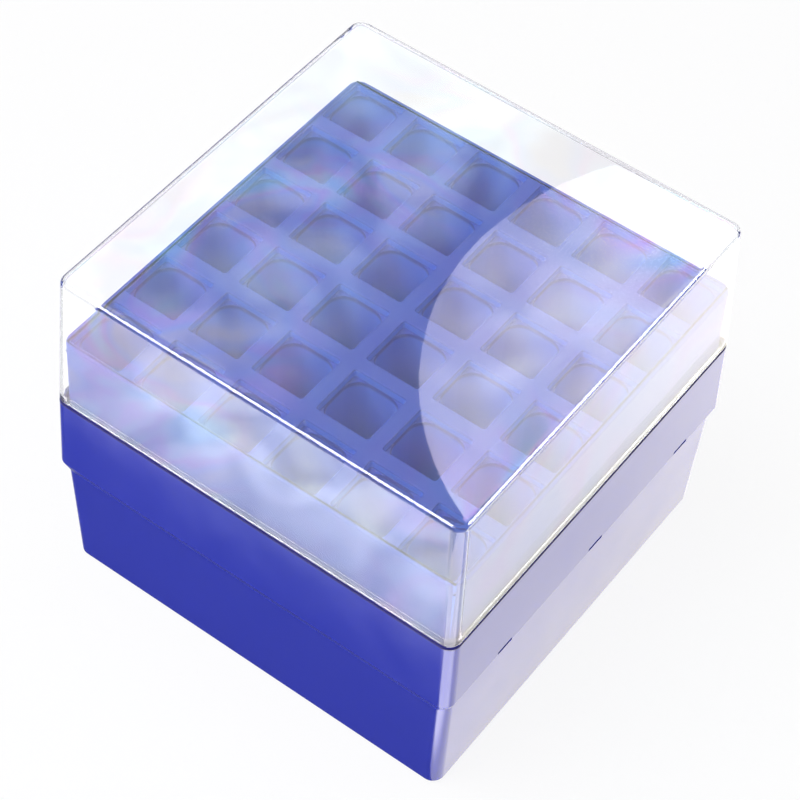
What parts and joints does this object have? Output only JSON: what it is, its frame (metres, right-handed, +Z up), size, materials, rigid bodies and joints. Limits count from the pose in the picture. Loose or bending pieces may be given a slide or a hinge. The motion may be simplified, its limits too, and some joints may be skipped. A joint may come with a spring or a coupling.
{
  "type": "freezer box",
  "caption": "Square freezer box: stepped base, drop-in rack of open square cells for standing conical tubes, and a clear drafted lid that lifts off.",
  "frame": {"origin": "under the middle of the base, on the surface that the box stands on", "axes": "+Z up, the way the lid lifts; +X towards one of the two sides that have vents in the collar; +Y along those sides, the way the vents are shifted"},
  "size_m": [0.142, 0.142, 0.1231],
  "materials": {
    "base_plastic": "moulded, semi-gloss, cobalt blue",
    "rack_plastic": "moulded, satin, lighter blue, slightly translucent",
    "lid_plastic": "clear moulded sheet, high gloss"
  },
  "bodies": {
    "base_body": {"base": "base_plastic", "tube_rack": "rack_plastic"},
    "lid_body": {"lid": "lid_plastic"}
  },
  "joints": [
    {"name": "lid_lift", "type": "slide", "parent": "base_body", "child": "lid_body", "axis": [0, 0, 1], "range_m": [0, 0.06]}
  ]
}
